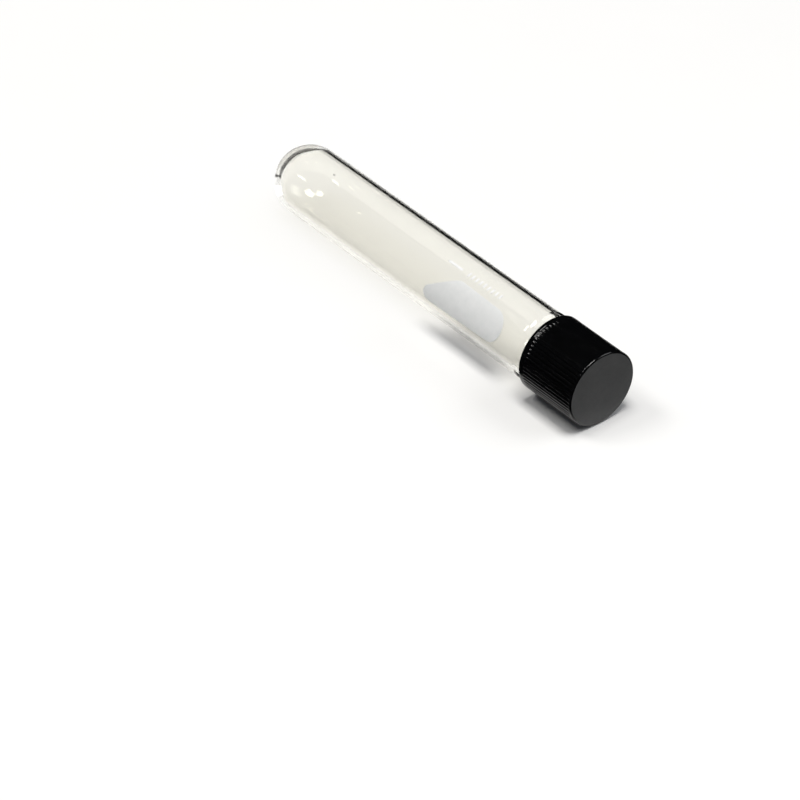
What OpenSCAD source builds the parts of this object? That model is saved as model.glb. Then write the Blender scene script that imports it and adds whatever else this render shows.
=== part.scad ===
// Screw-cap culture tube with a round bottom, lying on its side.
// The tube axis runs along X: the round bottom is at -X and the cap at +X.
// The origin is under the middle of the capped tube, on the line it rests on.
// Every "s" below is a distance along the axis from the pole of the round bottom.

/* [Glass tube] */
// Outside diameter of the straight tube
tube_od = 16; // [15.6:0.1:16.4]
// Length of the glass from the pole of the round bottom to the lip
tube_len = 100; // [90:1:125]
// Wall thickness of the straight tube
tube_wall = 0.9; // [0.8:0.05:1.3]
// Thickness of the glass at the pole of the round bottom
pole_wall = 1.4; // [1.1:0.1:2]

/* [Screw finish] */
// Outside diameter of the neck between the threads
neck_od = 12.6; // [12.4:0.05:12.8]
// Wall thickness of the neck
neck_wall = 1.25; // [1:0.05:1.5]
// Length of the neck from the end of the shoulder to the lip
neck_len = 13; // [12.4:0.1:13.4]
// Length along the axis over which the tube narrows to the neck
shoulder_len = 2.4; // [2:0.1:3]
// Diameter over the crests of the glass thread
thread_od = 14.4; // [14.1:0.05:14.5]
// Axial distance from one turn of thread to the next
thread_pitch = 2.117; // [2.1:0.001:2.2]
// Turns of thread, on the glass and in the cap
thread_turns = 2.5; // [1.5:0.25:2.5]

/* [Cap] */
// Outside diameter of the cap
cap_od = 17.5; // [17.2:0.1:18]
// Height of the cap
cap_height = 16.2; // [15:0.1:16.6]
// Thickness of the cap's flat roof
roof_thickness = 2; // [1.5:0.1:2.4]
// Diameter of the bore that the neck goes into
cap_bore_d = 14.9; // [14.8:0.05:15.1]
// Diameter inside the crests of the cap's thread
cap_thread_id = 13.3; // [13:0.05:13.5]
// Number of grip ribs round the cap
rib_count = 60; // [36:1:72]
// Depth of the valleys between the ribs
rib_depth = 0.16; // [0.08:0.02:0.3]

/* [Liner] */
// Thickness of the rubber disc
liner_thickness = 1.5; // [1:0.1:2]
// Thickness of the film that faces the glass
facing_thickness = 0.16; // [0.1:0.02:0.25]
// Diameter of the disc and the film
liner_d = 14.4; // [14:0.1:14.6]

/* [Markings] */
// Length of the enamel marking spot along the tube
spot_len = 24; // [16:0.5:28]
// Width of the marking spot round the tube
spot_width = 8.2; // [7.6:0.2:12]
// Distance from the pole of the round bottom to the middle of the spot
spot_s = 67.8; // [40:0.2:69]
// Turn of the spot's middle from the top of the tube towards -Y
spot_turn = 61.5; // [0:0.5:180]
// Thickness of the fired enamel
enamel_thickness = 0.05; // [0.03:0.01:0.1]

/* [Hidden] */
$fn = 96;

// Running gaps: lip to facing when closed, and disc to roof
seat_gap = 0.03;
roof_gap = 0.02;
// Radii of the glass
tube_r = tube_od / 2;
bore_r = tube_r - tube_wall;
neck_r = neck_od / 2;
mouth_r = neck_r - neck_wall;
lip_r = neck_wall / 2;
// Places along the glass
shoulder_s = tube_len - neck_len - shoulder_len;
// The inside narrows a little earlier than the outside does
inner_shoulder_s = shoulder_s - 0.4;
glass_thread_s = tube_len - 7;
arc_steps = 24;
edge_steps = 6;

// Places along the cap and its liner
facing_s = tube_len + seat_gap;
liner_s = facing_s + facing_thickness;
roof_s = liner_s + liner_thickness + roof_gap;
face_s = roof_s + roof_thickness;
skirt_s = face_s - cap_height;
cap_r = cap_od / 2;
cap_bore_r = cap_bore_d / 2;
// The cap's thread runs midway between the turns of the glass thread
cap_thread_s = glass_thread_s - thread_pitch / 2;
// Smooth bead at the skirt's edge, and rounded edge round the face
bead_height = 1.1;
bead_round = 0.3;
crown_height = 0.9;
crown_round = 0.4;
mouth_chamfer = 0.5;
// The grip ribs stop just short of the bead and the crown in radius
rib_peak_r = cap_r - 0.03;
points_per_rib = 4;

// Thread sections: width at the root and at the crest
glass_root_w = 1.15;
glass_crest_w = 0.45;
cap_root_w = 1;
cap_crest_w = 0.4;
thread_steps_per_turn = 36;
// Each thread is sunk this far into its wall, and fades in over this part of a turn
thread_sink = 0.4;
thread_fade = 0.2;

// Rounding of the spot: its end near the cap, and the upper and lower corners of
// its slanted far end
spot_end_r = 3.8;
spot_upper_r = 3.6;
spot_lower_r = 1.8;
spot_slant = 5.4;
shell_margin = 2;
// Generic printed row beside the spot: ticks, then a bar
tick_count = 9;
tick_len = 0.5;
tick_step = 1.25;
tick_row_s = spot_s - 3.6;
bar_len = 4.5;
bar_s = tick_row_s - 4.4;
row_width = 1.2;
row_turn = spot_turn - 44;

// Turns a part built along +Z onto the lying tube's axis
module lay() {
    translate([-face_s / 2, 0, cap_r]) rotate([0, 90, 0]) children();
}

// Points of a round stretch of an outline
function arc(cx, cy, r, from, to, steps = arc_steps) =
    [for (i = [0:steps]) let (a = from + (to - from) * i / steps)
        [cx + r * cos(a), cy + r * sin(a)]];

// Two equal arcs that carry a wall smoothly from radius r1 in to radius r2
function shoulder(r1, r2, s, len) =
    let (
        drop = r1 - r2,
        rho = (drop * drop + len * len) / (4 * drop),
        turn = asin(len / (2 * rho))
    )
    concat(
        arc(r1 - rho, s, rho, 0, turn),
        arc(r2 + rho, s + len, rho, 180 + turn, 180)
    );

function reversed(list) = [for (i = [len(list) - 1:-1:0]) list[i]];

// Section through the glass wall, from the outer pole to the lip and back
wall_section = concat(
    arc(0, tube_r, tube_r, -90, 0),
    shoulder(tube_r, neck_r, shoulder_s, shoulder_len),
    arc(neck_r - lip_r, tube_len - lip_r, lip_r, 0, 180),
    reversed(shoulder(bore_r, mouth_r, inner_shoulder_s, shoulder_len)),
    arc(0, bore_r + pole_wall, bore_r, 0, -90)
);

// One section of a thread, square to the tube's axis at angle a.
// A negative height makes a thread that points inwards.
function thread_section(a, s, root_r, height, root_w, crest_w) =
    let (
        side = height > 0 ? 1 : -1,
        sink_r = root_r - side * thread_sink,
        crest_r = root_r + height
    )
    [for (p = [
        [sink_r, -root_w / 2],
        [crest_r, -crest_w / 2],
        [crest_r, crest_w / 2],
        [sink_r, root_w / 2]
    ]) [p[0] * cos(a), p[0] * sin(a), s + side * p[1]]];

// Share of the full height at step i of n, so that the thread's ends run out
function fade(i, n) =
    let (t = min(i, n - i) / (thread_fade * thread_steps_per_turn))
    t >= 1 ? 1 : 0.04 + 0.96 * sin(90 * t);

// Right-handed thread swept round the Z axis
module thread(start_s, root_r, height, root_w, crest_w) {
    steps = round(thread_turns * thread_steps_per_turn);
    points = [for (i = [0:steps])
        let (a = 360 * i / thread_steps_per_turn)
        each thread_section(a, start_s + thread_pitch * a / 360, root_r,
            height * fade(i, steps), root_w, crest_w)];
    sides = [for (i = [0:steps - 1]) for (k = [0:3])
        let (p = 4 * i + k, q = 4 * i + (k + 1) % 4)
        each [[p, q, p + 4], [q, q + 4, p + 4]]];
    ends = [[3, 2, 1, 0], [4 * steps, 4 * steps + 1, 4 * steps + 2, 4 * steps + 3]];
    polyhedron(points, concat(sides, ends));
}

// A thin patch on the tube's outside wall, with its outline drawn flat:
// the outline's X runs round the tube and its Y runs along it
module wall_patch(s, turn, length) {
    rotate([0, 0, 180 + turn]) translate([0, 0, s]) intersection() {
        translate([0, 0, -length / 2 - shell_margin]) difference() {
            cylinder(r = tube_r + enamel_thickness, h = length + 2 * shell_margin);
            translate([0, 0, -1])
                cylinder(r = tube_r, h = length + 2 * shell_margin + 2);
        }
        rotate([90, 0, 90]) linear_extrude(tube_r + 1) children();
    }
}

// Borosilicate glass tube with a round bottom, a shoulder, a threaded neck and a
// fire-polished lip
module glass_tube() {
    color([0.90, 0.91, 0.87, 0.35]) lay() {
        rotate_extrude() polygon(wall_section);
        thread(glass_thread_s, neck_r, thread_od / 2 - neck_r, glass_root_w,
            glass_crest_w);
    }
}

// White enamel spot to write on
module marking_spot() {
    color([0.84, 0.85, 0.85]) lay() wall_patch(spot_s, spot_turn, spot_len) hull() {
        translate([0, spot_len / 2 - spot_end_r]) circle(spot_end_r, $fn = 32);
        translate([spot_upper_r - spot_width / 2, spot_upper_r + spot_slant - spot_len / 2])
            circle(spot_upper_r, $fn = 32);
        translate([spot_width / 2 - spot_lower_r, spot_lower_r - spot_len / 2])
            circle(spot_lower_r, $fn = 32);
    }
}

// Small printed row of ticks and a bar in the same enamel
module printed_marks() {
    color("white") lay() {
        for (i = [0:tick_count - 1])
            wall_patch(tick_row_s + tick_step * i, row_turn, tick_len)
                square([row_width, tick_len], center = true);
        wall_patch(bar_s, row_turn, bar_len)
            square([row_width / 2, bar_len], center = true);
    }
}

// Ring with rounded outer edges, from height 0 up
module rounded_ring(height, round_bottom, round_top) {
    rotate_extrude() polygon(concat(
        [[0, 0]],
        arc(cap_r - round_bottom, round_bottom, round_bottom, -90, 0, edge_steps),
        arc(cap_r - round_top, height - round_top, round_top, 0, 90, edge_steps),
        [[0, height]]
    ));
}

// Ribbed outline of the grip
module grip_outline() {
    steps = rib_count * points_per_rib;
    polygon([for (i = [0:steps - 1])
        let (
            a = 360 * i / steps,
            valley = pow((1 + cos(a * rib_count)) / 2, 2)
        )
        (rib_peak_r - rib_depth * valley) * [cos(a), sin(a)]]);
}

// Black moulded cap: ribbed skirt with a bead, flat roof and a thread inside
module screw_cap() {
    color([0.03, 0.03, 0.03]) lay() {
        difference() {
            union() {
                translate([0, 0, skirt_s])
                    rounded_ring(bead_height, bead_round, bead_round);
                translate([0, 0, skirt_s + bead_height / 2])
                    linear_extrude(cap_height - bead_height / 2 - crown_height / 2)
                        grip_outline();
                translate([0, 0, face_s - crown_height])
                    rounded_ring(crown_height, crown_round, crown_round);
            }
            translate([0, 0, skirt_s - 1]) cylinder(r = cap_bore_r, h = roof_s - skirt_s + 1);
            translate([0, 0, skirt_s - mouth_chamfer])
                cylinder(r1 = cap_bore_r + 2 * mouth_chamfer, r2 = cap_bore_r,
                    h = 2 * mouth_chamfer);
        }
        thread(cap_thread_s, cap_bore_r, cap_thread_id / 2 - cap_bore_r, cap_root_w,
            cap_crest_w);
    }
}

// Rubber disc under the roof of the cap
module rubber_liner() {
    color([0.75, 0.72, 0.66]) lay()
        translate([0, 0, liner_s]) cylinder(r = liner_d / 2, h = liner_thickness);
}

// Thin slippery film between the rubber and the lip of the glass
module liner_facing() {
    color([0.95, 0.95, 0.93]) lay()
        translate([0, 0, facing_s]) cylinder(r = liner_d / 2, h = facing_thickness);
}

glass_tube();
marking_spot();
printed_marks();
screw_cap();
rubber_liner();
liner_facing();
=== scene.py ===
"""Looks of the screw-cap test tube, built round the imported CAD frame.

Lengths are in metres, in the frame's own axes: the tube's axis runs along X, from the round bottom
at -X to the cap at +X, and Z is up. Every "s" is a distance along the axis from the pole of the
round bottom, and every "turn" is an angle round the axis from the top of the tube towards -Y.
"""

import math
import random

import bmesh
import bpy
from mathutils import Matrix, Vector


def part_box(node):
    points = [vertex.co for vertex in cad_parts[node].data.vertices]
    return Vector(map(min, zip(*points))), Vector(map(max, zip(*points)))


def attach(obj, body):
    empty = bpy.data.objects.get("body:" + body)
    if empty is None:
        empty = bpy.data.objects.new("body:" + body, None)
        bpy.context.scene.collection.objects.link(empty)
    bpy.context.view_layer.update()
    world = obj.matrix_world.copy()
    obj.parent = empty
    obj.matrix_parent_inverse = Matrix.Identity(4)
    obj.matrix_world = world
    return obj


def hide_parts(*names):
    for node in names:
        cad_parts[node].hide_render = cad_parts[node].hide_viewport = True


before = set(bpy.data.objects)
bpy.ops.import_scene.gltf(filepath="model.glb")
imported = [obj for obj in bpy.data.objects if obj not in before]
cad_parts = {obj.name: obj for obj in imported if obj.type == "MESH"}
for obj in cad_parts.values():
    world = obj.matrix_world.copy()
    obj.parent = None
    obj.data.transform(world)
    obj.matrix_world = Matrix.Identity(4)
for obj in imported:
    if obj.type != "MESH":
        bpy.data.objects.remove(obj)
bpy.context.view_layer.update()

MM = 0.001

# ---------------------------------------------------------------------------------------------
# Sizes read from the frame, and the few that the frame's boxes don't give
# ---------------------------------------------------------------------------------------------

glass_lo, glass_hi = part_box("glass_tube")
cap_lo, cap_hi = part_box("screw_cap")
liner_lo, liner_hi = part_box("rubber_liner")
film_lo, film_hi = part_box("liner_facing")
spot_lo, spot_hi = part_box("marking_spot")
marks_lo, marks_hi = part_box("printed_marks")

AXIS_Z = (glass_lo.z + glass_hi.z) / 2
POLE_X = glass_lo.x
TUBE_R = (glass_hi.z - glass_lo.z) / 2
TUBE_LEN = glass_hi.x - glass_lo.x
CAP_R = (cap_hi.z - cap_lo.z) / 2

WALL = 0.9 * MM
POLE_WALL = 1.4 * MM
NECK_R = 6.3 * MM
NECK_WALL = 1.25 * MM
NECK_LEN = 13.0 * MM
SHOULDER_LEN = 2.4 * MM
SHOULDER_LEAD = 0.4 * MM
THREAD_R = 7.2 * MM
THREAD_PITCH = 2.117 * MM
THREAD_TURNS = 2.5
GLASS_THREAD_S = TUBE_LEN - 7 * MM

CAP_BORE_R = 7.45 * MM
CAP_THREAD_R = 6.65 * MM
ROOF = 2.0 * MM
RIBS = 60
RIB_DEPTH = 0.16 * MM
RIB_SETBACK = 0.03 * MM
BEAD = 1.1 * MM
CROWN_ROUND = 0.4 * MM
BEAD_ROUND = 0.3 * MM
MOUTH_CHAMFER = 0.5 * MM

ENAMEL = 0.05 * MM


# ---------------------------------------------------------------------------------------------
# Small helpers
# ---------------------------------------------------------------------------------------------


def on_axis(s, r, turn):
    """The point at distance s along the tube, r from its axis, turned from the top towards -Y."""
    return Vector((POLE_X + s, -r * math.sin(turn), AXIS_Z + r * math.cos(turn)))


def smooth_step(t):
    t = min(max(t, 0.0), 1.0)
    return t * t * (3 - 2 * t)


def arc(cs, cr, r, start, end, steps):
    """Points (s, r) of a round stretch of an outline; angles in degrees, 0 along the axis."""
    points = []
    for i in range(steps + 1):
        a = math.radians(start + (end - start) * i / steps)
        points.append((cs + r * math.cos(a), cr + r * math.sin(a)))
    return points


def straight(a, b, steps):
    """Points from a to b, without a itself."""
    return [
        (a[0] + (b[0] - a[0]) * i / steps, a[1] + (b[1] - a[1]) * i / steps)
        for i in range(1, steps + 1)
    ]


def shoulder(s, r1, r2, length, steps):
    """Two equal arcs that carry a wall smoothly from radius r1 in to radius r2."""
    drop = r1 - r2
    rho = (drop * drop + length * length) / (4 * drop)
    turn = math.degrees(math.asin(length / (2 * rho)))
    out = arc(s, r1 - rho, rho, 90, 90 - turn, steps)
    return out + arc(s + length, r2 + rho, rho, -90 - turn, -90, steps)[1:]


def new_object(name, mesh, body, smooth=True):
    obj = bpy.data.objects.new(name, mesh)
    bpy.context.scene.collection.objects.link(obj)
    if smooth:
        for polygon in mesh.polygons:
            polygon.use_smooth = True
    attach(obj, body)
    return obj


def lathe(name, outline, segments, shape=None, face_slot=None):
    """A closed solid of revolution from an outline that starts and ends on the axis.

    shape(s, r, turn) gives each point's own (s, r), and face_slot(row) its material slot.
    """
    bm = bmesh.new()
    rings = []
    for s, r in outline:
        if r <= 1e-9:
            rings.append([bm.verts.new(on_axis(s, 0, 0))])
            continue
        ring = []
        for i in range(segments):
            turn = 2 * math.pi * i / segments
            s1, r1 = shape(s, r, turn) if shape else (s, r)
            ring.append(bm.verts.new(on_axis(s1, r1, turn)))
        rings.append(ring)
    for row, (a, b) in enumerate(zip(rings, rings[1:])):
        for i in range(segments):
            j = (i + 1) % segments
            if len(a) == 1:
                corners = (a[0], b[j], b[i])
            elif len(b) == 1:
                corners = (a[i], a[j], b[0])
            else:
                corners = (a[i], a[j], b[j], b[i])
            face = bm.faces.new(corners)
            if face_slot:
                face.material_index = face_slot(row)
    bmesh.ops.recalc_face_normals(bm, faces=bm.faces)
    mesh = bpy.data.meshes.new(name)
    bm.to_mesh(mesh)
    bm.free()
    return mesh


# ---------------------------------------------------------------------------------------------
# Materials
# ---------------------------------------------------------------------------------------------


class Nodes:
    """A new material's node tree, with short calls to add and join its nodes."""

    def __init__(self, name):
        self.material = bpy.data.materials.new(name)
        self.material.use_nodes = True
        self.tree = self.material.node_tree
        self.shader = self.tree.nodes["Principled BSDF"]
        self.output = self.tree.nodes["Material Output"]

    def add(self, kind, **values):
        node = self.tree.nodes.new(kind)
        for key, value in values.items():
            setattr(node, key, value)
        return node

    def join(self, out_socket, in_socket):
        self.tree.links.new(out_socket, in_socket)

    def position(self):
        return self.add("ShaderNodeTexCoord").outputs["Object"]

    def noise(self, scale, detail=3.0, roughness=0.5, stretch=None):
        """Noise in the piece's own space; scale is in features per metre."""
        node = self.add("ShaderNodeTexNoise")
        node.inputs["Scale"].default_value = scale
        node.inputs["Detail"].default_value = detail
        node.inputs["Roughness"].default_value = roughness
        source = self.position()
        if stretch:
            mapping = self.add("ShaderNodeMapping")
            mapping.inputs["Scale"].default_value = stretch
            self.join(source, mapping.inputs["Vector"])
            source = mapping.outputs["Vector"]
        self.join(source, node.inputs["Vector"])
        return node.outputs["Fac"]

    def ramp(self, factor, stops):
        """A colour ramp; stops are (position, colour or grey)."""
        node = self.add("ShaderNodeValToRGB")
        elements = node.color_ramp.elements
        while len(elements) < len(stops):
            elements.new(0.5)
        for element, (at, value) in zip(elements, stops):
            element.position = at
            colour = value if isinstance(value, tuple) else (value, value, value)
            element.color = (*colour, 1.0)
        self.join(factor, node.inputs["Fac"])
        return node.outputs["Color"]

    def bump(self, height, distance, strength=1.0, before=None):
        node = self.add("ShaderNodeBump")
        node.inputs["Distance"].default_value = distance
        node.inputs["Strength"].default_value = strength
        self.join(height, node.inputs["Height"])
        if before is not None:
            self.join(before, node.inputs["Normal"])
        return node.outputs["Normal"]


def glass_material():
    """Clear borosilicate glass with a trace of warm colour and drawn-in waviness."""
    n = Nodes("borosilicate_glass")
    p = n.shader
    p.inputs["Base Color"].default_value = (0.98, 0.974, 0.94, 1.0)
    p.inputs["Transmission Weight"].default_value = 1.0
    p.inputs["IOR"].default_value = 1.474
    smear = n.noise(60.0, 3.0, 0.6, (0.25, 1.0, 1.0))
    n.join(n.ramp(smear, [(0.45, 0.0), (0.8, 0.01)]), p.inputs["Roughness"])
    waves = n.noise(45.0, 2.0, 0.5, (0.15, 1.0, 1.0))
    n.join(n.bump(waves, 0.01 * MM, 0.3), p.inputs["Normal"])
    # Lamps light what is behind the glass, as they do through a real clear tube.
    through = n.add("ShaderNodeBsdfTransparent")
    through.inputs["Color"].default_value = (0.996, 0.995, 0.988, 1.0)
    path = n.add("ShaderNodeLightPath")
    mix = n.add("ShaderNodeMixShader")
    n.join(path.outputs["Is Shadow Ray"], mix.inputs["Fac"])
    n.join(p.outputs["BSDF"], mix.inputs[1])
    n.join(through.outputs["BSDF"], mix.inputs[2])
    n.join(mix.outputs["Shader"], n.output.inputs["Surface"])
    return n.material


def enamel_material():
    """Fired white enamel: fine grain, faint mottling, slightly rough."""
    n = Nodes("white_enamel")
    p = n.shader
    mottle = n.noise(700.0, 4.0, 0.6)
    colour = n.ramp(mottle, [(0.3, (0.755, 0.77, 0.765)), (0.7, (0.80, 0.81, 0.805))])
    n.join(colour, p.inputs["Base Color"])
    p.inputs["IOR"].default_value = 1.5
    grain = n.noise(9000.0, 2.0, 0.6)
    n.join(n.ramp(grain, [(0.3, 0.42), (0.7, 0.62)]), p.inputs["Roughness"])
    n.join(n.bump(grain, 0.02 * MM, 0.6), p.inputs["Normal"])
    # Light soaks through the thin coat, so its back is pale too.
    p.inputs["Subsurface Weight"].default_value = 0.7
    p.inputs["Subsurface Radius"].default_value = (1.0, 1.0, 1.0)
    p.inputs["Subsurface Scale"].default_value = 0.12 * MM
    return n.material


def print_material():
    """The same enamel, laid on thin."""
    n = Nodes("white_print")
    p = n.shader
    patch = n.noise(3500.0, 3.0, 0.6)
    n.join(n.ramp(patch, [(0.3, 0.72), (0.6, 0.9)]), p.inputs["Base Color"])
    n.join(n.ramp(patch, [(0.3, 0.4), (0.7, 0.6)]), p.inputs["Roughness"])
    return n.material


def phenolic_side():
    """Polished side of the black moulded cap, with fine moulding marks and handling scuffs."""
    n = Nodes("black_phenolic_side")
    p = n.shader
    cloud = n.noise(300.0, 4.0, 0.6)
    n.join(
        n.ramp(cloud, [(0.35, (0.0008, 0.0009, 0.001)), (0.7, (0.0016, 0.0017, 0.002))]),
        p.inputs["Base Color"],
    )
    p.inputs["IOR"].default_value = 1.5
    scuff = n.noise(900.0, 5.0, 0.65, (0.3, 1.0, 1.0))
    n.join(n.ramp(scuff, [(0.4, 0.06), (0.8, 0.11)]), p.inputs["Roughness"])
    grain = n.noise(5000.0, 2.0, 0.5)
    n.join(n.bump(grain, 0.004 * MM, 0.3), p.inputs["Normal"])
    return n.material


def phenolic_face_with_painted_sheen():
    """Matte flat face of the cap. Its dark grey is partly the matte black's own tone and partly a
    painted sheen: the pale table's soft reflection laid into the base colour.
    """
    n = Nodes("black_phenolic_face_and_painted_sheen")
    p = n.shader
    cloud = n.noise(240.0, 5.0, 0.6)
    # Painted sheen: this base colour is far lighter than the side's. It stands in for the table's
    # soft reflection on the matte face, on top of the black's own tone.
    n.join(
        n.ramp(cloud, [(0.3, (0.052, 0.053, 0.0535)), (0.7, (0.061, 0.062, 0.0625))]),
        p.inputs["Base Color"],
    )
    p.inputs["IOR"].default_value = 1.5
    scuff = n.noise(1400.0, 5.0, 0.7)
    n.join(n.ramp(scuff, [(0.3, 0.5), (0.75, 0.66)]), p.inputs["Roughness"])
    grain = n.noise(7000.0, 3.0, 0.6)
    n.join(n.bump(grain, 0.02 * MM, 0.5), p.inputs["Normal"])
    return n.material


def rubber_material():
    """Tan rubber of the liner disc, with a fine dusty grain."""
    n = Nodes("liner_rubber")
    p = n.shader
    speck = n.noise(2500.0, 4.0, 0.6)
    n.join(
        n.ramp(speck, [(0.3, (0.42, 0.33, 0.24)), (0.7, (0.52, 0.43, 0.33))]),
        p.inputs["Base Color"],
    )
    n.join(n.ramp(speck, [(0.3, 0.6), (0.7, 0.8)]), p.inputs["Roughness"])
    n.join(n.bump(speck, 0.02 * MM, 0.5), p.inputs["Normal"])
    return n.material


def film_material():
    """Waxy white film that faces the lip."""
    n = Nodes("liner_film")
    p = n.shader
    skive = n.noise(1800.0, 3.0, 0.5, (1.0, 0.1, 1.0))
    n.join(n.ramp(skive, [(0.3, 0.78), (0.7, 0.88)]), p.inputs["Base Color"])
    n.join(n.ramp(skive, [(0.3, 0.3), (0.7, 0.42)]), p.inputs["Roughness"])
    p.inputs["Subsurface Weight"].default_value = 0.15
    p.inputs["Subsurface Radius"].default_value = (1.0, 1.0, 1.0)
    p.inputs["Subsurface Scale"].default_value = 0.4 * MM
    return n.material


def floor_material():
    """Plain pale table top."""
    n = Nodes("floor_paper")
    p = n.shader
    fibre = n.noise(8.0, 4.0, 0.6)
    n.join(
        n.ramp(fibre, [(0.3, (0.86, 0.86, 0.855)), (0.7, (0.88, 0.88, 0.875))]),
        p.inputs["Base Color"],
    )
    p.inputs["Roughness"].default_value = 0.9
    p.inputs["Specular IOR Level"].default_value = 0.1
    return n.material


def path_kinds(add, join):
    """Two masks, 0 or 1: the ray left through a tube's second wall, and it met no mirror at all."""
    path = add("ShaderNodeLightPath")
    both_walls = add("ShaderNodeMath")
    both_walls.operation = "GREATER_THAN"
    both_walls.inputs[1].default_value = 3.5
    join(path.outputs["Transmission Depth"], both_walls.inputs[0])
    turned = add("ShaderNodeMath")
    turned.operation = "SUBTRACT"
    join(path.outputs["Ray Depth"], turned.inputs[0])
    join(path.outputs["Transmission Depth"], turned.inputs[1])
    unmirrored = add("ShaderNodeMath")
    unmirrored.operation = "LESS_THAN"
    unmirrored.inputs[1].default_value = 0.5
    join(turned.outputs[0], unmirrored.inputs[0])
    return both_walls.outputs[0], unmirrored.outputs[0]


def combine(add, join, operation, a, b, c=None):
    node = add("ShaderNodeMath")
    node.operation = operation
    for socket, value in zip(node.inputs, (a, b, c)):
        if isinstance(value, float):
            socket.default_value = value
        elif value is not None:
            join(value, socket)
    return node.outputs[0]


def card_material():
    """Black card for the glass's edge and the cap to reflect. A view through a tube misses it."""
    n = Nodes("black_card")
    n.shader.inputs["Base Color"].default_value = (0.004, 0.004, 0.004, 1.0)
    n.shader.inputs["Roughness"].default_value = 1.0
    n.shader.inputs["Specular IOR Level"].default_value = 0.0
    clear = n.add("ShaderNodeBsdfTransparent")
    mix = n.add("ShaderNodeMixShader")
    n.join(combine(n.add, n.join, "MULTIPLY", *path_kinds(n.add, n.join)), mix.inputs["Fac"])
    n.join(n.shader.outputs["BSDF"], mix.inputs[1])
    n.join(clear.outputs["BSDF"], mix.inputs[2])
    n.join(mix.outputs["Shader"], n.output.inputs["Surface"])
    return n.material


# ---------------------------------------------------------------------------------------------
# Glass tube
# ---------------------------------------------------------------------------------------------

GLASS_SEGMENTS = 256
BORE_R = TUBE_R - WALL
MOUTH_R = NECK_R - NECK_WALL
SHOULDER_S = TUBE_LEN - NECK_LEN - SHOULDER_LEN
INNER_SHOULDER_S = SHOULDER_S - SHOULDER_LEAD
LIP_R = NECK_WALL / 2
THREAD_HEIGHT = THREAD_R - NECK_R
THREAD_HALF_WIDTH = 0.62 * MM


def thread_height(s, turn, start_s, fade_turns=0.22):
    """Share of a thread's full height at a place on its wall: a round ridge with run-out ends."""
    angle = (-turn) % (2 * math.pi)
    best = 0.0
    for k in range(-1, int(THREAD_TURNS) + 2):
        turns = angle / (2 * math.pi) + k
        if not 0 <= turns <= THREAD_TURNS:
            continue
        off = abs(s - (start_s + THREAD_PITCH * turns)) / THREAD_HALF_WIDTH
        if off >= 1:
            continue
        ends = min(turns, THREAD_TURNS - turns) / fade_turns
        best = max(best, smooth_step(ends) * (0.5 + 0.5 * math.cos(math.pi * off)) ** 0.8)
    return best


def glass_outline():
    """Outline of the wall, from the outer pole to the lip and back down the inside."""
    equator = arc(TUBE_R, 0, TUBE_R, 180, 90, 40)
    outer = equator + straight(equator[-1], (SHOULDER_S, TUBE_R), 60)
    neck_end = (TUBE_LEN - LIP_R, NECK_R)
    outer += shoulder(SHOULDER_S, TUBE_R, NECK_R, SHOULDER_LEN, 10)[1:]
    outer += straight(outer[-1], neck_end, 130)
    lip = arc(TUBE_LEN - LIP_R, NECK_R - LIP_R, LIP_R, 90, -90, 16)[1:]
    inner = shoulder(INNER_SHOULDER_S, BORE_R, MOUTH_R, SHOULDER_LEN, 10)
    inner = straight(lip[-1], inner[-1], 12) + inner[::-1][1:]
    inner += straight(inner[-1], (BORE_R + POLE_WALL, BORE_R), 60)
    inner += arc(BORE_R + POLE_WALL, 0, BORE_R, 90, 180, 40)[1:]
    points = outer + lip + inner
    points[0] = (points[0][0], 0.0)
    points[-1] = (points[-1][0], 0.0)
    return points


def glass_shape(s, r, turn):
    """Adds the thread outside, and the slight unevenness of drawn glass inside."""
    on_neck = s > SHOULDER_S + SHOULDER_LEN and r > NECK_R - 1e-6
    if on_neck:
        return s, r + THREAD_HEIGHT * thread_height(s, turn, GLASS_THREAD_S)
    inside = r <= BORE_R + 1e-6 and s > BORE_R + POLE_WALL and s < INNER_SHOULDER_S
    if inside:
        wave = math.sin(3 * turn + 35 * s) + 0.6 * math.sin(5 * turn - 60 * s + 1.3)
        return s, r - 0.005 * MM * (1.6 + wave)
    return s, r


def add_bubble(bm, s, r, turn, long_r, side_r):
    """A seed bubble: a closed void in the wall, drawn out along the tube."""
    made = bmesh.ops.create_uvsphere(bm, u_segments=24, v_segments=16, radius=1.0)
    place = Matrix.Translation(on_axis(s, r, turn)) @ Matrix.Diagonal(
        (long_r, side_r, side_r, 1.0)
    )
    bmesh.ops.transform(bm, matrix=place, verts=made["verts"])
    faces = {f for v in made["verts"] for f in v.link_faces}
    bmesh.ops.reverse_faces(bm, faces=list(faces))


def build_glass():
    mesh = lathe("glass", glass_outline(), GLASS_SEGMENTS, glass_shape)
    bm = bmesh.new()
    bm.from_mesh(mesh)
    mid_wall = (TUBE_R + BORE_R) / 2
    add_bubble(bm, 17.9 * MM, mid_wall, math.radians(10.9), 0.26 * MM, 0.2 * MM)
    chance = random.Random(11)
    for _ in range(5):
        add_bubble(
            bm,
            chance.uniform(20, 80) * MM,
            mid_wall,
            chance.uniform(0, 2 * math.pi),
            chance.uniform(0.06, 0.14) * MM,
            chance.uniform(0.03, 0.05) * MM,
        )
    bm.to_mesh(mesh)
    bm.free()
    obj = new_object("glass_tube_body", mesh, "tube")
    mesh.materials.append(glass_material())
    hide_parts("glass_tube")
    return obj


# ---------------------------------------------------------------------------------------------
# Enamel on the glass
# ---------------------------------------------------------------------------------------------

SPOT_LEN = spot_hi.x - spot_lo.x
SPOT_S = (spot_lo.x + spot_hi.x) / 2 - POLE_X
SPOT_WIDTH = 8.2 * MM
SPOT_TURN = math.radians(61.5)
SPOT_END_R = 3.8 * MM
SPOT_UPPER_R = 3.6 * MM
SPOT_LOWER_R = 1.8 * MM
SPOT_SLANT = 5.4 * MM
# The enamel reaches this far into the glass, so that the two surfaces never coincide.
SINK = 0.01 * MM


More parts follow.
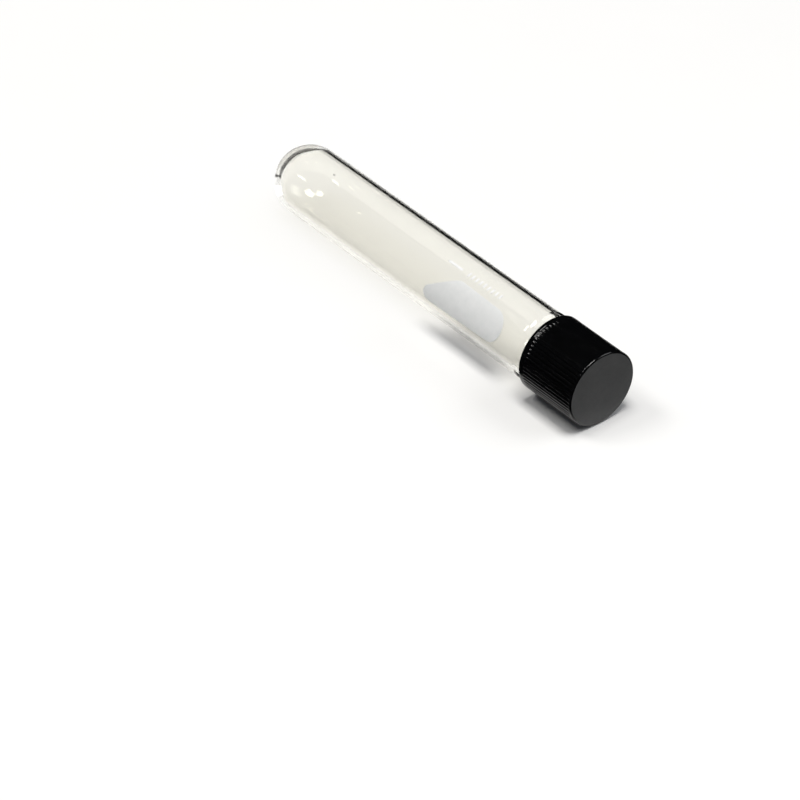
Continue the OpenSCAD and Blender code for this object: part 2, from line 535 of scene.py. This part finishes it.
def spot_outline(steps=20):
    """The spot's outline, flat: (round the tube, along the tube), counter-clockwise."""
    discs = [
        (Vector((0, SPOT_LEN / 2 - SPOT_END_R)), SPOT_END_R),
        (
            Vector((SPOT_UPPER_R - SPOT_WIDTH / 2, SPOT_UPPER_R + SPOT_SLANT - SPOT_LEN / 2)),
            SPOT_UPPER_R,
        ),
        (Vector((SPOT_WIDTH / 2 - SPOT_LOWER_R, SPOT_LOWER_R - SPOT_LEN / 2)), SPOT_LOWER_R),
    ]
    count = 12 * steps
    points = []
    for i in range(count):
        a = 2 * math.pi * i / count
        way = Vector((math.cos(a), math.sin(a)))
        centre, r = max(discs, key=lambda disc: disc[0].dot(way) + disc[1])
        points.append(centre + r * way)
    kept = [points[0]]
    for point in points[1:]:
        gap = (point - kept[-1]).length
        pieces = max(1, int(gap / (0.4 * MM)))
        start = kept[-1].copy()
        for k in range(1, pieces + 1):
            kept.append(start.lerp(point, k / pieces))
    return kept


def wall_patch(bm, outline, s, turn, rings):
    """A closed thin patch on the tube's wall, from a flat outline that is star-shaped."""

    def place(flat, r):
        return on_axis(s + flat.y, r, turn + flat.x / TUBE_R)

    middle = sum(outline, Vector((0, 0))) / len(outline)
    top_r = TUBE_R + ENAMEL
    edge_r = TUBE_R + 0.4 * ENAMEL
    layers = []
    for share, r in rings(top_r, edge_r):
        layers.append([bm.verts.new(place(middle.lerp(p, share), r)) for p in outline])
    tip_top = bm.verts.new(place(middle, top_r))
    tip_low = bm.verts.new(place(middle, TUBE_R - SINK))
    count = len(outline)
    for i in range(count):
        j = (i + 1) % count
        bm.faces.new((tip_top, layers[0][i], layers[0][j]))
        for a, b in zip(layers, layers[1:]):
            bm.faces.new((a[i], b[i], b[j], a[j]))
        bm.faces.new((layers[-1][i], tip_low, layers[-1][j]))


def spot_rings(top_r, edge_r):
    """Rings from the middle of the spot out to its edge, down, and back under."""
    rings = [(share, top_r) for share in (0.15, 0.3, 0.45, 0.6, 0.75, 0.88, 0.975)]
    rings += [(0.992, top_r - 0.3 * ENAMEL), (1.0, edge_r), (1.0, TUBE_R - SINK)]
    rings += [(share, TUBE_R - SINK) for share in (0.88, 0.75, 0.6, 0.45, 0.3, 0.15)]
    return rings


def bar_rings(top_r, edge_r):
    return [(0.5, top_r), (0.9, top_r), (1.0, edge_r), (1.0, TUBE_R - SINK), (0.5, TUBE_R - SINK)]


def rounded_bar(width, length, corner, steps=5):
    """Flat outline of a small printed bar with rounded corners."""
    points = []
    for k, (sx, sy) in enumerate(((1, 1), (-1, 1), (-1, -1), (1, -1))):
        centre = Vector((sx * (width / 2 - corner), sy * (length / 2 - corner)))
        for i in range(steps + 1):
            a = math.radians(90 * k + 90 * i / steps)
            points.append(centre + corner * Vector((math.cos(a), math.sin(a))))
    return points


def build_spot():
    bm = bmesh.new()
    wall_patch(bm, spot_outline(), SPOT_S, SPOT_TURN, spot_rings)
    bmesh.ops.recalc_face_normals(bm, faces=bm.faces)
    mesh = bpy.data.meshes.new("spot")
    bm.to_mesh(mesh)
    bm.free()
    obj = new_object("marking_spot_enamel", mesh, "tube")
    mesh.materials.append(enamel_material())
    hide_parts("marking_spot")
    return obj


TICK_COUNT = 9
TICK_LEN = 0.5 * MM
TICK_STEP = 1.25 * MM
TICK_ROW_S = SPOT_S - 3.6 * MM
BAR_LEN = 4.5 * MM
BAR_S = TICK_ROW_S - 4.4 * MM
ROW_WIDTH = 1.2 * MM
ROW_TURN = SPOT_TURN - math.radians(44)
PRINT_CORNER = 0.12 * MM


def build_marks():
    bm = bmesh.new()
    tick = rounded_bar(ROW_WIDTH, TICK_LEN, PRINT_CORNER)
    for i in range(TICK_COUNT):
        wall_patch(bm, tick, TICK_ROW_S + TICK_STEP * i, ROW_TURN, bar_rings)
    wall_patch(bm, rounded_bar(ROW_WIDTH / 2, BAR_LEN, PRINT_CORNER), BAR_S, ROW_TURN, bar_rings)
    bmesh.ops.recalc_face_normals(bm, faces=bm.faces)
    mesh = bpy.data.meshes.new("marks")
    bm.to_mesh(mesh)
    bm.free()
    obj = new_object("printed_row", mesh, "tube")
    mesh.materials.append(print_material())
    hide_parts("printed_marks")
    return obj


# ---------------------------------------------------------------------------------------------
# Cap and liner
# ---------------------------------------------------------------------------------------------

CAP_SEGMENTS = RIBS * 10
FACE_S = cap_hi.x - POLE_X
SKIRT_S = cap_lo.x - POLE_X
ROOF_S = FACE_S - ROOF
CAP_THREAD_S = GLASS_THREAD_S - THREAD_PITCH / 2
RIB_START = SKIRT_S + BEAD
RIB_END = FACE_S - 0.12 * MM
RIB_RUNOUT = 0.7 * MM


def cap_outline():
    """Outline of the cap: face, crown, ribbed side, bead, mouth, bore and roof."""
    face_edge = CAP_R - CROWN_ROUND
    points = [(FACE_S, 0.0)] + straight((FACE_S, 0.0), (FACE_S, face_edge), 8)
    points += arc(FACE_S - CROWN_ROUND, face_edge, CROWN_ROUND, 0, 90, 8)[1:]
    points += straight(points[-1], (RIB_END - RIB_RUNOUT, CAP_R), 6)
    points += straight(points[-1], (RIB_START + RIB_RUNOUT, CAP_R), 20)
    points += straight(points[-1], (RIB_START, CAP_R), 5)
    bead_top = RIB_START - BEAD_ROUND
    points += arc(bead_top, CAP_R - BEAD_ROUND, BEAD_ROUND, 60, 90, 4)
    points += straight(points[-1], (SKIRT_S + BEAD_ROUND, CAP_R), 3)
    points += arc(SKIRT_S + BEAD_ROUND, CAP_R - BEAD_ROUND, BEAD_ROUND, 90, 180, 6)[1:]
    points += straight(points[-1], (SKIRT_S, CAP_BORE_R + MOUTH_CHAMFER), 2)
    points += straight(points[-1], (SKIRT_S + MOUTH_CHAMFER, CAP_BORE_R), 4)
    points += straight(points[-1], (ROOF_S - 0.3 * MM, CAP_BORE_R), 130)
    points += arc(ROOF_S - 0.3 * MM, CAP_BORE_R - 0.3 * MM, 0.3 * MM, 90, 0, 5)[1:]
    points += straight(points[-1], (ROOF_S, 0.0), 6)
    points[-1] = (ROOF_S, 0.0)
    return points


def cap_shape(s, r, turn):
    """Adds the grip ribs outside and the thread inside."""
    outside = r > CAP_R - CROWN_ROUND and RIB_START <= s <= RIB_END
    if outside:
        lead = min(s - RIB_START, RIB_END - s) / RIB_RUNOUT
        valley = ((1 + math.cos(turn * RIBS)) / 2) ** 3
        return s, r - smooth_step(lead) * (RIB_SETBACK + RIB_DEPTH * valley)
    bore = abs(r - CAP_BORE_R) < 1e-6 and SKIRT_S + MOUTH_CHAMFER < s < ROOF_S - 0.3 * MM
    if bore:
        return s, r - (CAP_BORE_R - CAP_THREAD_R) * thread_height(s, turn, CAP_THREAD_S)
    return s, r


def build_cap():
    mesh = lathe("cap", cap_outline(), CAP_SEGMENTS, cap_shape, lambda row: 1 if row < 8 else 0)
    obj = new_object("cap_moulding", mesh, "cap")
    mesh.materials.append(phenolic_side())
    mesh.materials.append(phenolic_face_with_painted_sheen())
    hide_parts("screw_cap")
    return obj


def disc_outline(low_s, high_s, r, rounding, dent=None):
    """Outline of a disc with rounded edges; dent is (radius, width, depth) of the lip's print."""
    points = [(low_s, 0.0)]
    flat = r - rounding
    steps = 48
    for i in range(1, steps + 1):
        at = flat * i / steps
        lift = 0.0
        if dent:
            away = (at - dent[0]) / dent[1]
            lift = dent[2] * math.exp(-away * away)
        points.append((low_s + lift, at))
    points += arc(low_s + rounding, flat, rounding, 180, 90, 6)[1:]
    points += arc(high_s - rounding, flat, rounding, 90, 0, 6)[1:]
    points += straight(points[-1], (high_s, 0.0), 8)
    points[-1] = (high_s, 0.0)
    return points


def build_liner():
    r = (liner_hi.z - liner_lo.z) / 2
    outline = disc_outline(liner_lo.x - POLE_X, liner_hi.x - POLE_X, r, 0.12 * MM)
    mesh = lathe("liner", outline, 160)
    obj = new_object("liner_disc", mesh, "liner")
    mesh.materials.append(rubber_material())
    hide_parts("rubber_liner")
    r = (film_hi.z - film_lo.z) / 2
    lip_middle = NECK_R - LIP_R
    dent = (lip_middle, 0.35 * MM, 0.05 * MM)
    outline = disc_outline(film_lo.x - POLE_X, film_hi.x - POLE_X, r, 0.04 * MM, dent)
    mesh = lathe("film", outline, 160)
    film = new_object("liner_film", mesh, "liner")
    mesh.materials.append(film_material())
    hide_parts("liner_facing")
    return obj, film


# ---------------------------------------------------------------------------------------------
# Stage, lights and camera
# ---------------------------------------------------------------------------------------------

FLOOR_R = 6.0
# The lying tube tips until its round bottom touches too; the table takes that tilt instead.
REST_RUN = SKIRT_S - TUBE_R
FLOOR_TILT = math.atan((CAP_R - TUBE_R) / REST_RUN)


def table_z(x):
    """Height of the tilted table at x: it passes under the cap's edge and the round bottom."""
    return (cap_lo.x - x) * math.tan(FLOOR_TILT)


def build_floor():
    bm = bmesh.new()
    bmesh.ops.create_circle(bm, cap_ends=True, segments=96, radius=FLOOR_R)
    for v in bm.verts:
        v.co.z = table_z(v.co.x)
    mesh = bpy.data.meshes.new("floor")
    bm.to_mesh(mesh)
    bm.free()
    floor = bpy.data.objects.new("floor", mesh)
    bpy.context.scene.collection.objects.link(floor)
    mesh.materials.append(floor_material())


def build_card(name, corners, glossy, transmission):
    """A black card. Only reflections, or rays through glass, meet it."""
    mesh = bpy.data.meshes.new(name)
    mesh.from_pydata(corners, [], [(0, 1, 2, 3)])
    card = bpy.data.objects.new(name, mesh)
    bpy.context.scene.collection.objects.link(card)
    mesh.materials.append(card_material())
    card.visible_camera = False
    card.visible_diffuse = False
    card.visible_shadow = False
    card.visible_glossy = glossy
    card.visible_transmission = transmission


def lying(x0, x1, y0, y1):
    """Corners of a card that lies just above the table."""
    lift = 0.4 * MM
    return [(x, y, table_z(x) + lift) for x, y in ((x0, y0), (x1, y0), (x1, y1), (x0, y1))]


def standing(x0, y0, x1, y1, height):
    """Corners of a card that stands on the table from one point to another."""
    return [(x0, y0, 0), (x1, y1, 0), (x1, y1, height), (x0, y0, height)]


def build_cards():
    """Dark surroundings for the glass's upper edge and the cap; a pale gap stays near the tube."""
    far = 0.9
    near_back = 32 * MM
    near_front = -12 * MM
    low = 0.3
    build_card("card_behind", lying(-far, 0.4, near_back, far), True, True)
    build_card("card_left", lying(-far, -68 * MM, -8 * MM, near_back), True, True)
    build_card("card_front", lying(-0.6, far, -far, near_front), True, False)
    build_card("card_right", lying(55 * MM, far, near_front, near_back), True, False)
    build_card("card_end", standing(-far, -0.05, -far, far, low), True, True)
    build_card("card_back", standing(-far, far, 0.3, far, low), True, True)


def area_light(name, target, way, distance, size_x, size_y, power, colour):
    """A softbox in direction way from target, facing it; size_x is its side along the tube."""
    data = bpy.data.lights.new(name, "AREA")
    data.shape = "RECTANGLE"
    data.size = size_x
    data.size_y = size_y
    data.energy = power
    data.color = colour
    light = bpy.data.objects.new(name, data)
    bpy.context.scene.collection.objects.link(light)
    z = Vector(way).normalized()
    y = z.cross(Vector((1, 0, 0))).normalized()
    x = y.cross(z)
    light.matrix_world = Matrix.Translation(target + z * distance) @ Matrix(
        (x, y, z)
    ).transposed().to_4x4()
    return light


def build_lights():
    """A softbox overhead, two large soft ones, and two narrow panes that only glint."""
    middle = on_axis(TUBE_LEN / 2, 0, 0)
    area_light(
        "overhead_box", middle, (0.12, -0.06, 0.99), 1.2, 0.62, 0.42, 11.0, (1.0, 0.985, 0.96)
    )
    area_light("left_box", middle, (-0.354, -0.40, 0.857), 1.3, 0.46, 0.36, 4.4, (1.0, 0.99, 0.97))
    area_light("fill_box", middle, (0.55, 0.75, 0.75), 1.8, 1.2, 0.9, 9.0, (0.97, 0.98, 1.0))
    white = (1.0, 1.0, 0.98)
    for i, (s, turn, way) in enumerate(
        (
            (12.7 * MM, 53, (-0.65, -0.59, 0.49)),
            (16.5 * MM, 21, (-0.64, 0.02, 0.77)),
        )
    ):
        spot = on_axis(s, TUBE_R, math.radians(turn))
        area_light(f"pane_{i + 1}", spot, way, 1.3, 0.004, 0.1, 0.006, white)


def build_world():
    """Pale for the camera and through a tube, dim for light, and nearly black for reflections."""
    world = bpy.data.worlds.new("studio")
    world.use_nodes = True
    tree = world.node_tree
    add = tree.nodes.new
    join = tree.links.new
    path = add("ShaderNodeLightPath")
    dim = tree.nodes["Background"]
    dim.inputs["Color"].default_value = (0.9, 0.93, 1.0, 1.0)
    strength = combine(add, join, "MULTIPLY_ADD", path.outputs["Is Diffuse Ray"], 0.11, 0.012)
    join(strength, dim.inputs["Strength"])
    pale = add("ShaderNodeBackground")
    pale.inputs["Color"].default_value = (1.0, 1.0, 0.995, 1.0)
    pale.inputs["Strength"].default_value = 0.97
    both_walls, unmirrored = path_kinds(add, join)
    ghost = combine(add, join, "SUBTRACT", both_walls, unmirrored)
    kept = combine(add, join, "LESS_THAN", ghost, 0.5)
    through = combine(add, join, "MULTIPLY", path.outputs["Is Transmission Ray"], kept)
    either = combine(add, join, "MAXIMUM", path.outputs["Is Camera Ray"], through)
    mix = add("ShaderNodeMixShader")
    join(either, mix.inputs["Fac"])
    join(dim.outputs[0], mix.inputs[1])
    join(pale.outputs[0], mix.inputs[2])
    join(mix.outputs[0], tree.nodes["World Output"].inputs["Surface"])
    bpy.context.scene.world = world


VIEW_AZIMUTH = math.radians(49.95)
VIEW_ELEVATION = math.radians(37.42)
VIEW_ROLL = math.radians(1.0)
VIEW_DISTANCE = 0.885
LENS = 195.3
# The camera's axis meets the height of the tube's axis here, off the tube's middle.
AIM_X = 28.9 * MM
AIM_Y = -34.7 * MM


def build_camera():
    data = bpy.data.cameras.new("camera")
    data.lens = LENS
    data.clip_start = 0.01
    camera = bpy.data.objects.new("camera", data)
    bpy.context.scene.collection.objects.link(camera)
    flat = math.cos(VIEW_ELEVATION)
    back = Vector(
        (
            math.sin(VIEW_AZIMUTH) * flat,
            -math.cos(VIEW_AZIMUTH) * flat,
            math.sin(VIEW_ELEVATION),
        )
    )
    camera.location = Vector((AIM_X, AIM_Y, AXIS_Z)) + back * VIEW_DISTANCE
    look = back.to_track_quat("Z", "Y")
    camera.rotation_euler = (look.to_matrix() @ Matrix.Rotation(VIEW_ROLL, 3, "Z")).to_euler()
    bpy.context.scene.camera = camera


def set_rendering():
    """Paths long enough for the glass, and colours shown as they are."""
    scene = bpy.context.scene
    scene.view_settings.view_transform = "Standard"
    scene.cycles.max_bounces = 24
    scene.cycles.transmission_bounces = 24
    scene.cycles.glossy_bounces = 24
    scene.cycles.transparent_max_bounces = 24
    scene.cycles.caustics_refractive = False
    scene.cycles.caustics_reflective = False


build_camera()
build_world()
build_lights()
build_floor()
build_cards()
build_glass()
build_spot()
build_marks()
build_cap()
build_liner()
set_rendering()
